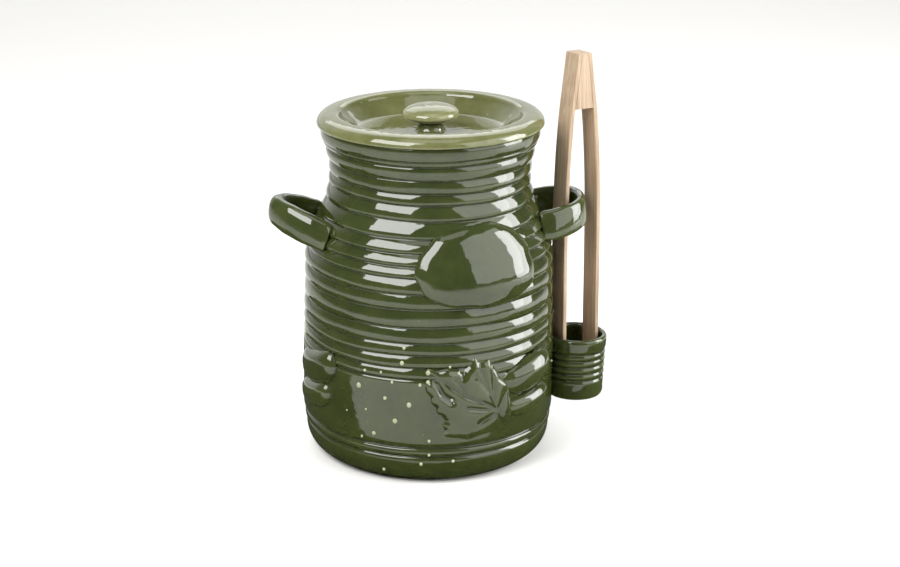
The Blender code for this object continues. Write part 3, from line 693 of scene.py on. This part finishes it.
def model_handle(angle, height, rise, half_width, roundness, thickness, softness):
    """Strap of clay bent into a loop: its section leans outward, and narrows where it meets the wall."""
    path, reach = handle_path(height, rise, half_width, roundness)
    section_turn = np.linspace(0.0, math.tau, SECTION_POINTS, endpoint=False)
    wide, tall = superellipse(section_turn, thickness / 2, STRAP_HALF_HEIGHT, softness)
    item = straight_strap()
    places = points_of(item) / MM
    ring = np.rint(places[:, 2]).astype(int)
    spoke = np.rint(around(places)[0] / math.tau * SECTION_POINTS).astype(int) % SECTION_POINTS
    ahead = np.gradient(path, axis=0)
    ahead /= np.linalg.norm(ahead, axis=1)[:, None]
    sideways = np.cross(ahead, np.array([0.0, 0.0, 1.0]))
    sideways /= np.linalg.norm(sideways, axis=1)[:, None]
    normal = np.cross(sideways, ahead)
    uneven = 1.0 + 0.022 * np.sin(ring * 0.14 + angle) + 0.012 * np.sin(ring * 0.4 + 1.0)
    roll = (math.radians(STRAP_ROLL) * (1.0 - 0.6 * reach))[ring]
    outward = (wide[spoke] * np.cos(roll) - tall[spoke] * np.sin(roll)) * uneven
    upward = (wide[spoke] * np.sin(roll) + tall[spoke] * np.cos(roll)) * uneven
    offset = sideways[ring] * outward[:, None] + normal[ring] * upward[:, None]
    places = path[ring] + offset
    near = around(places)[1] - wall_radius(places[:, 2])
    taper = ROOT_TAPER * np.clip(1.0 - near / ROOT_TAPER_REACH, 0.0, 1.0) ** 2
    places -= offset * (taper / np.linalg.norm(offset, axis=1))[:, None]
    places = places @ np.array(Matrix.Rotation(math.radians(angle), 3, "Z")).T
    least = wall_radius(places[:, 2]) - ROOT_SINK
    places[:, :2] *= np.maximum(1.0, least / around(places)[1])[:, None]
    move_points(item, places * MM)
    in_edit(item, close_mesh)
    shade_round(item)
    return item


# Reliefs pressed on to the wall


def relief(angle, height, half_width, half_height, step, form, tilt=0.0, soft=0):
    """Sprig of clay on the wall: a grid raised by a form, then given a thickness.

    The form takes places (round the pot, up the wall) and says how far each stands out. The glaze fills a
    sprig's corners, which is what the smoothing passes stand for.
    """
    deselect()
    columns, rows = int(2.0 * half_width / step), int(2.0 * half_height / step)
    bpy.ops.mesh.primitive_grid_add(x_subdivisions=columns, y_subdivisions=rows, size=2.0)
    item = bpy.context.active_object
    item.scale = (half_width, half_height, 1.0)
    apply_place(item)
    places = points_of(item)
    along, up = places[:, 0].copy(), places[:, 1].copy()
    raised = form(along, up)
    slant = math.radians(tilt)
    level = height + up * math.cos(slant) + along * math.sin(slant)
    round_pot = along * math.cos(slant) - up * math.sin(slant)
    radius = wall_radius(level) + raised
    swing = math.radians(angle) + round_pot / float(wall_radius(height))
    places = np.stack([radius * np.cos(swing), radius * np.sin(swing), level], 1)
    move_points(item, places * MM)
    if soft:
        glazed = item.modifiers.new("Glaze in the corners", "SMOOTH")
        glazed.factor = 0.5
        glazed.iterations = soft
        apply_modifiers(item)
    buried = raised <= SPRIG_SINK + 0.05

    def trim():
        bpy.ops.mesh.select_mode(type="VERT")
        bpy.ops.mesh.select_all(action="DESELECT")
        bpy.ops.object.mode_set(mode="OBJECT")
        item.data.vertices.foreach_set("select", buried)
        bpy.ops.object.mode_set(mode="EDIT")
        bpy.ops.mesh.delete(type="VERT")
        bpy.ops.mesh.select_all(action="SELECT")
        bpy.ops.mesh.normals_make_consistent(inside=False)

    in_edit(item, trim)
    middle = item.data.polygons[len(item.data.polygons) // 2]
    if middle.normal.x * middle.center.x + middle.normal.y * middle.center.y < 0.0:
        in_edit(item, flip_mesh)
    mark_glaze(item, 1.0, 4)
    back = item.modifiers.new("Back", "SOLIDIFY")
    back.thickness = SPRIG_THICKNESS * MM
    back.offset = -1.0
    apply_modifiers(item)
    shade_round(item)
    return item


def cushion(share, squareness):
    """Domed cross-section: 1 in the middle, 0 at the edge, and steep there."""
    inside = np.clip(1.0 - np.clip(share, 0.0, 1.0) ** squareness, 0.0, 1.0)
    return np.sqrt(inside)


def plaque_form(along, up):
    """Smooth oval pad with a soft, slightly uneven rounded edge."""
    across, climb = along / PLAQUE_HALF_WIDTH, up / PLAQUE_HALF_HEIGHT
    turn = np.arctan2(climb, across)
    power = PLAQUE_SQUARENESS
    rim = (np.abs(across) ** power + np.abs(climb) ** power) ** (1 / power)
    rim += 0.02 * np.sin(3.0 * turn + 0.8) + 0.013 * np.sin(7.0 * turn + 2.0) + 0.008 * np.sin(13.0 * turn)
    dent = 0.35 * np.sin(along / 15.0 + 0.6) * np.cos(up / 13.0)
    top = (PLAQUE_RELIEF - SPRIG_SINK) * cushion(rim, 8.0) + SPRIG_SINK
    return np.where(rim < 1.0, top - 0.7 * rim**2 + dent * (1.0 - rim.clip(0, 1) ** 4), SPRIG_SINK)


def gherkin_form(length, thickness, height, squareness):
    """Gherkin lying along the wall, slightly bent, with blunt ends, the right one prouder."""

    def form(along, up):
        share = along / (length / 2.0)
        bent = (up - 2.6 * share**2 + 0.9) / (thickness / 2.0)
        rim = (np.abs(share) ** squareness + np.abs(bent) ** 2.2) ** (1.0 / 2.2)
        return SPRIG_SINK + (height * (1.0 + 0.3 * share) - SPRIG_SINK) * cushion(rim, 2.2)

    return form


def on_leaf(spots):
    """Places on the leaf (round the pot, up the wall) of some of the photograph's pixels."""
    stem, level = on_wall(*LEAF_BASE)
    places = []
    for spot in spots:
        angle, height = on_wall(*spot)
        places.append((math.radians(angle - stem) * BAND_RADIUS, height - level))
    return places


def line_distance(along, up, line):
    """Distance of every point from an open line of points."""
    nearest = np.full(along.shape, 1e3)
    for (x0, y0), (x1, y1) in zip(line[:-1], line[1:]):
        run, climb = x1 - x0, y1 - y0
        share = np.clip(((along - x0) * run + (up - y0) * climb) / (run * run + climb * climb), 0.0, 1.0)
        nearest = np.minimum(nearest, np.hypot(along - x0 - run * share, up - y0 - climb * share))
    return nearest


def leaf_form(along, up):
    """Broad lobed leaf: sunk veins from the stem, flesh swelling between them, one deep split.

    It lies flatter in its lower part, as the photographed one does.
    """
    edge = on_leaf(LEAF_EDGE)
    ring = edge + edge[:1]
    depth = line_distance(along, up, ring)
    inside = np.zeros(along.shape, dtype=bool)
    for (x0, y0), (x1, y1) in zip(ring[:-1], ring[1:]):
        crosses = (y0 > up) != (y1 > up)
        place = x0 + (up - y0) * (x1 - x0) / ((y1 - y0) or 1e-9)
        inside ^= crosses & (along < place)
    depth = np.where(inside, depth, -depth)
    vein = np.full(along.shape, 1e3)
    for line in LEAF_VEINS:
        vein = np.minimum(vein, line_distance(along, up, on_leaf(line)))
    split = line_distance(along, up, on_leaf(LEAF_SPLIT))
    rim_width, lower_loss = 4.4, 1.3
    rise = smooth_step((depth + 1.4) / rim_width)
    lower = smooth_step((-up - 4.0) / 14.0) * smooth_step((along + 30.0) / 12.0)
    flesh = 0.78 + 0.22 * (1.0 - np.exp(-((vein / 3.0) ** 2)))
    top = ((LEAF_RELIEF - lower_loss * lower) * flesh - VEIN_DEPTH * np.exp(-((vein / 1.3) ** 2))) * rise
    top = top - SPLIT_DEPTH * np.exp(-((split / 2.0) ** 2)) * rise
    return top + SPRIG_SINK * (1.0 - smooth_step((depth + 2.6) / 2.0))


# Slip dots


def model_dots():
    """Small raised drops of pale slip, scattered over the plain band and the lower ribs."""
    spots = [(on_wall(across, down), size) for across, down, size in FRONT_DOTS]
    spots += [((angle, height), 1.2 + 0.5 * math.sin(angle)) for angle, height in BACK_DOTS]
    dots = []
    for (angle, height), size in spots:
        deselect()
        bpy.ops.mesh.primitive_uv_sphere_add(segments=14, ring_count=8, radius=size * MM)
        dot = bpy.context.active_object
        dot.scale = (0.72, 1.0, 1.12)
        dot.location = ((float(wall_radius(height)) + 0.1) * MM, 0.0, height * MM)
        apply_place(dot)
        dot.rotation_euler = (0.0, 0.0, math.radians(angle))
        apply_place(dot)
        dots.append(dot)
    deselect()
    for dot in dots:
        dot.select_set(True)
    bpy.context.view_layer.objects.active = dots[0]
    bpy.ops.object.join()
    shade_round(dots[0])
    return dots[0]


# Lid and knob


def model_lid():
    """Sunken lid: broad rounded flange, sloping well, flat floor with a thinly glazed edge."""
    top = rounded(
        [(46.6, LID_TOP), (49.0, 217.9), (50.8, 219.2), (58.6, 227.0), (60.2, 229.2), (61.6, 230.3)]
        + [(63.3, 230.7), (66.3, 230.6), (69.3, 230.25), (71.4, 229.5), (73.0, 228.3), (74.2, 226.8)]
        + [(74.8, 225.4), (75.0, 224.3), (74.7, 223.5), (73.9, 223.2), (73.0, 223.6), (71.8, 224.25)],
        6,
    )
    under = rounded(
        [(63.0, 224.3), (62.4, 223.9), (61.2, 222.4), (52.6, 215.0), (50.0, 213.9), (46.0, LID_UNDERSIDE)], 4
    )
    floor = [(0.0, LID_TOP + 0.02), (20.0, LID_TOP + 0.02), (36.0, LID_TOP)]
    item = turned(floor + top + under + [(22.0, LID_UNDERSIDE), (0.0, LID_UNDERSIDE)], LID_SEGMENTS)
    places = points_of(item) / MM
    turn, out = around(places)
    places[:, 2] += 0.1 * np.sin(2.0 * turn + 0.5) * smooth_step((out - 55.0) / 10.0) * (places[:, 2] > 225.0)
    places[:, 2] += lip_warp(places)
    move_points(item, places * MM)
    return item


def model_knob():
    """Mushroom knob: flat domed cap with a soft rim over a short waisted stem."""
    cap = rounded(
        [(4.5, 17.75), (9.0, 17.3), (13.0, 16.4), (16.2, 14.9), (18.1, 13.1), (18.75, 11.2)]
        + [(18.4, 9.9), (17.2, 8.7), (15.0, 7.7), (12.2, 6.9), (10.0, 6.2), (8.8, 5.3)]
        + [(8.4, 4.2), (8.5, 3.0), (9.0, 1.6), (9.6, 0.6), (10.2, 0.0)],
        5,
    )
    outside = [(point.x, KNOB_FOOT + point.y) for point in cap]
    item = turned([(0.0, KNOB_FOOT + KNOB_HEIGHT)] + outside + [(0.0, KNOB_FOOT)], KNOB_SEGMENTS)
    places = points_of(item) / MM
    height = places[:, 2] - KNOB_FOOT
    tilt = 0.15 * np.sin(around(places)[0] + 2.0) * smooth_step((height - 6.0) / 6.0)
    places[:, 2] += tilt * (height < KNOB_HEIGHT - 0.1)
    places[:, 2] += lip_warp(places)
    move_points(item, places * MM)
    return item


# Tong cup


def cup_profile():
    """Section of the cup, from the middle of its floor up the inside, over the rim and down the outside."""
    inner, rim, base = CUP_INNER, CUP_INNER + 3.9, CUP_INNER + 2.3
    inside = rounded(
        [(inner - 3.0, CUP_FLOOR), (inner - 0.5, CUP_FLOOR + 0.12), (inner - 0.05, CUP_FLOOR + 0.7)]
        + [(inner, CUP_FLOOR + 6.0), (inner, 66.0), (inner, 72.6), (inner + 0.45, 74.4)]
        + [(inner + 1.9, CUP_TOP), (rim - 0.5, 74.5), (rim, 72.6)],
        5,
    )
    outside = []
    for step in range(CUP_OUTSIDE_POINTS):
        height = CUP_OUTSIDE_TOP - (CUP_OUTSIDE_TOP - CUP_OUTSIDE_FOOT) * step / (CUP_OUTSIDE_POINTS - 1)
        wall = base + (rim - base) * (height - CUP_FOOT) / (CUP_TOP - CUP_FOOT)
        wave = 0.5 - 0.5 * math.cos(math.tau * (CUP_GROOVES_TOP - height) / CUP_GROOVE_PITCH)
        grooved = CUP_GROOVES_FOOT < height < CUP_GROOVES_TOP
        outside.append((wall - (CUP_GROOVE_DEPTH * wave**1.1 if grooved else 0.0), height))
    foot = rounded([(base, 35.0), (base - 0.6, 33.3), (base - 1.8, 32.2), (base - 3.4, CUP_FOOT)], 4)
    floor = [(0.0, CUP_FLOOR), (6.0, CUP_FLOOR), (11.0, CUP_FLOOR)]
    return floor + inside + outside + foot + [(9.0, CUP_FOOT), (0.0, CUP_FOOT)]


def model_cup():
    """Small thrown cup: plain collar, soft throwing grooves, heavy rounded rim."""
    item = turned(cup_profile(), CUP_SEGMENTS)
    places = points_of(item) / MM
    turn, out = around(places)
    height = places[:, 2]
    uneven = 0.25 * np.sin(turn + height / 9.0) + 0.15 * np.sin(3.0 * turn - height / 5.0)
    swell = np.where(out > CUP_INNER + 1.0, uneven * smooth_step((height - 33.0) / 6.0) - 0.2, 0.0)
    places[:, :2] *= (1.0 + swell / np.maximum(out, 1.0))[:, None]
    places[:, :2] += CUP_MIDDLE
    move_points(item, places * MM)
    return item


# Tongs


def arm_inner_face(height):
    """Half the gap between the arms at a height above the tips, in millimetres."""
    foot = TONG_LENGTH - BLOCK_HEIGHT
    bow = np.clip((height - ARM_STRAIGHT_LENGTH) / (foot - ARM_STRAIGHT_LENGTH), 0.0, 1.0) ** ARM_BOW_POWER
    low = (TIP_GAP - (TIP_GAP - BLOCK_FOOT_WIDTH) * bow) / 2.0
    share = np.clip((height - foot) / BLOCK_HEIGHT, 0.0, 1.0)
    high = (BLOCK_FOOT_WIDTH + (BLOCK_TOP_WIDTH - BLOCK_FOOT_WIDTH) * share) / 2.0
    return np.where(height >= foot, high, low)


def stand_tongs(item):
    """Set a piece modelled in the tongs' own frame into the cup."""
    item.matrix_world = (
        Matrix.Translation([value * MM for value in TONG_FOOT])
        @ Matrix.Rotation(-math.radians(TONG_SWAY), 4, "Y")
        @ Matrix.Rotation(-math.radians(TONG_LEAN), 4, "X")
        @ Matrix.Rotation(math.radians(TONG_YAW), 4, "Z")
    )
    apply_place(item)


def soften(item, width):
    """Sand the sharp edges of a wooden piece."""
    edge = item.modifiers.new("Sanded edges", "BEVEL")
    edge.width = width * MM
    edge.segments = 3
    edge.limit_method = "ANGLE"
    edge.angle_limit = math.radians(WOOD_EDGE_ANGLE)
    apply_modifiers(item)
    pick(item)
    bpy.ops.object.shade_smooth_by_angle(angle=math.radians(WOOD_EDGE_ANGLE))


def wooden_bar(foot, length):
    """Bar as wide as the tongs and 1 mm thick, standing on a foot, drawn in millimetres and not in metres."""
    deselect()
    bpy.ops.mesh.primitive_cube_add(size=1.0, location=(0.0, 0.0, foot + length / 2.0))
    item = bpy.context.active_object
    item.scale = (1.0, ARM_WIDTH, length)
    apply_place(item)
    return item


def model_arm(side):
    """Thin sprung strip of beech: straight from its tip, then bent in to the block."""
    item = wooden_bar(0.0, TONG_LENGTH)

    def cut_across():
        bpy.ops.mesh.select_all(action="DESELECT")
        bpy.ops.mesh.select_mode(type="EDGE")
        bpy.ops.object.mode_set(mode="OBJECT")
        for edge in item.data.edges:
            low, high = (item.data.vertices[index].co.z for index in edge.vertices)
            edge.select = abs(high - low) > 1.0
        bpy.ops.object.mode_set(mode="EDIT")
        bpy.ops.mesh.subdivide(number_cuts=ARM_CUTS)

    in_edit(item, cut_across)
    places = points_of(item)
    outer = places[:, 0] * side > 0.0
    face = arm_inner_face(places[:, 2])
    places[:, 0] = side * (face + np.where(outer, ARM_THICKNESS, 0.0))
    places[:, 1] *= 1.0 - 2.0 * TIP_TAPER / ARM_WIDTH * (1.0 - smooth_step(places[:, 2] / TIP_TAPER_HEIGHT))
    places[:, 1] += 0.12 * np.sin(places[:, 2] / 37.0 + side)
    move_points(item, places * MM)
    soften(item, 0.4)
    stand_tongs(item)
    return item


def model_block():
    """Wedge of beech between the two strips."""
    item = wooden_bar(TONG_LENGTH - BLOCK_HEIGHT, BLOCK_HEIGHT)
    places = points_of(item)
    face = arm_inner_face(places[:, 2]) - BLOCK_JOINT
    places[:, 0] = np.sign(places[:, 0]) * face
    move_points(item, places * MM)
    soften(item, 0.25)
    stand_tongs(item)
    return item


# Studio


def new_plane(name, size, material):
    """Lay a flat square sheet on the ground."""
    deselect()
    bpy.ops.mesh.primitive_plane_add(size=size, location=(0.0, 0.0, 0.0))
    sheet = bpy.context.active_object
    sheet.name = name
    sheet.data.materials.append(material)
    return sheet


def softbox(name, azimuth, elevation, distance, width, height, power, aim):
    """Rectangular softbox, its azimuth counted to the right of the camera."""
    data = bpy.data.lights.new(name, "AREA")
    data.shape = "RECTANGLE"
    data.size = width
    data.size_y = height
    data.energy = power
    lamp = bpy.data.objects.new(name, data)
    bpy.context.scene.collection.objects.link(lamp)
    turn = math.radians(VIEW_AZIMUTH - 90.0 + azimuth)
    rise = math.radians(elevation)
    out = Vector((math.cos(turn) * math.cos(rise), math.sin(turn) * math.cos(rise), math.sin(rise)))
    lamp.location = out * distance + Vector((0.0, 0.0, aim))
    lamp.rotation_euler = out.to_track_quat("Z", "Y").to_euler()


# Dress the crock

deep_green = glaze_material("green_glaze_on_stoneware", "#0C1007", "#293013", "#3C441F", "#7F8358", 0.6)
lid_green = glaze_material("thin_green_glaze_on_stoneware", "#20230F", "#545731", "#74764F", "#ADAB84", 1.0)
slip = glaze_material("pale_slip_under_thin_glaze", "#2C3418", "#555C3A", "#84896A", "#A2A687", 0.0)
planed_beech = wood_material("untreated_planed_beech")

crock = model_crock()
mark_glaze(crock)
dress(crock, "thrown_crock", deep_green, "crock", "green_glaze", "crock_body")

for name, *shape in HANDLES:
    handle = model_handle(*shape)
    mark_glaze(handle, 1.9)
    dress(handle, name, deep_green, "crock", "green_glaze", name.replace("_strap", ""))

plaque_grid = (PLAQUE_HALF_WIDTH + 1.8, PLAQUE_HALF_HEIGHT + 1.9, 0.5)
plaque = relief(PLAQUE_ANGLE, PLAQUE_MIDDLE, *plaque_grid, plaque_form)
dress(plaque, "oval_pad", deep_green, "crock", "green_glaze", "oval_plaque")

leaf_stem, leaf_level = on_wall(*LEAF_BASE)
leaf = relief(leaf_stem, leaf_level, 56.0, 40.0, 0.45, leaf_form, soft=22)
dress(leaf, "lobed_leaf", deep_green, "crock", "green_glaze", "leaf_sprig")

for name, angle, height, length, thick, tilt, proud, bluntness in GHERKINS:
    form = gherkin_form(length, thick, proud, bluntness)
    gherkin = relief(angle, height, length / 2.0 + 1.5, thick / 2.0 + 4.5, 0.45, form, tilt, 3)
    dress(gherkin, name.replace("gherkin", "gherkin_relief"), deep_green, "crock", "green_glaze", name)

dots = model_dots()
mark_glaze(dots, 1.2, 1)
dress(dots, "slip_dots", slip, "crock", "green_glaze")

cup = model_cup()
mark_glaze(cup)
dress(cup, "thrown_tong_cup", deep_green, "crock", "green_glaze", "tong_cup")

lid = model_lid()
# A wider radius than the pot's: the flange's rounded crest takes the pale edge colour. This is partly thin
# glaze there and partly a painted highlight standing in for the overhead lamp's reflection.
mark_glaze(lid, 2.4)
dress(lid, "sunken_lid", lid_green, "lid", "pale_green_glaze", "lid_dish")
knob = model_knob()
mark_glaze(knob, 4.0)
dress(knob, "mushroom_knob", lid_green, "lid", "pale_green_glaze", "lid_knob")

for name, side, body in (("inner_arm_strip", -1.0, "inner_arm"), ("outer_arm_strip", 1.0, "outer_arm")):
    dress(model_arm(side), name, planed_beech, body, "beech", name.replace("arm_strip", "tong_arm"))
dress(model_block(), "beech_wedge", planed_beech, "tongs", "beech", "tong_block")

# Set up the studio

ground = new_plane("studio_floor", FLOOR_SIZE, plain_material("matt_white_paper", "#F2F1EE", 0.9))

# The photographed crock stands on a dark mat: a card as deep as it, which only the glaze's reflections see
card = new_plane("dark_reflection_card", 1.0, plain_material("matt_black_card", "#2A2824", 0.9))
card.scale = CARD_SIZE
card.rotation_euler = (0.0, 0.0, math.radians(VIEW_AZIMUTH))
card.location = CARD_PLACE
card.visible_camera = False
card.visible_diffuse = False
card.visible_shadow = False

for lamp_values in SOFTBOXES:
    softbox(*lamp_values)

world = bpy.data.worlds.new("studio_air")
bpy.context.scene.world = world
world.use_nodes = True
sky = world.node_tree
toward = node(sky, "ShaderNodeTexCoord").outputs["Generated"]
facing = node(sky, "ShaderNodeVectorMath", {"operation": "DOT_PRODUCT"}, {1: BEHIND}, {0: toward})
edges = {"From Min": 0.5, "From Max": 0.85}
behind = node(sky, "ShaderNodeMapRange", inputs=edges, links={"Value": facing.outputs["Value"]})
shade = node(sky, "ShaderNodeValToRGB", links={"Fac": behind.outputs["Result"]})
set_ramp(shade, (0.0, GREY_AIR), (1.0, WHITE_AIR))
sky.links.new(shade.outputs["Color"], sky.nodes["Background"].inputs["Color"])

camera_data = bpy.data.cameras.new("photo_camera")
camera_data.lens = LENS
camera_data.sensor_width = SENSOR_WIDTH
camera = bpy.data.objects.new("photo_camera", camera_data)
bpy.context.scene.collection.objects.link(camera)
camera.matrix_world = CAMERA_PLACE
bpy.context.scene.camera = camera
bpy.context.scene.view_settings.view_transform = "Standard"
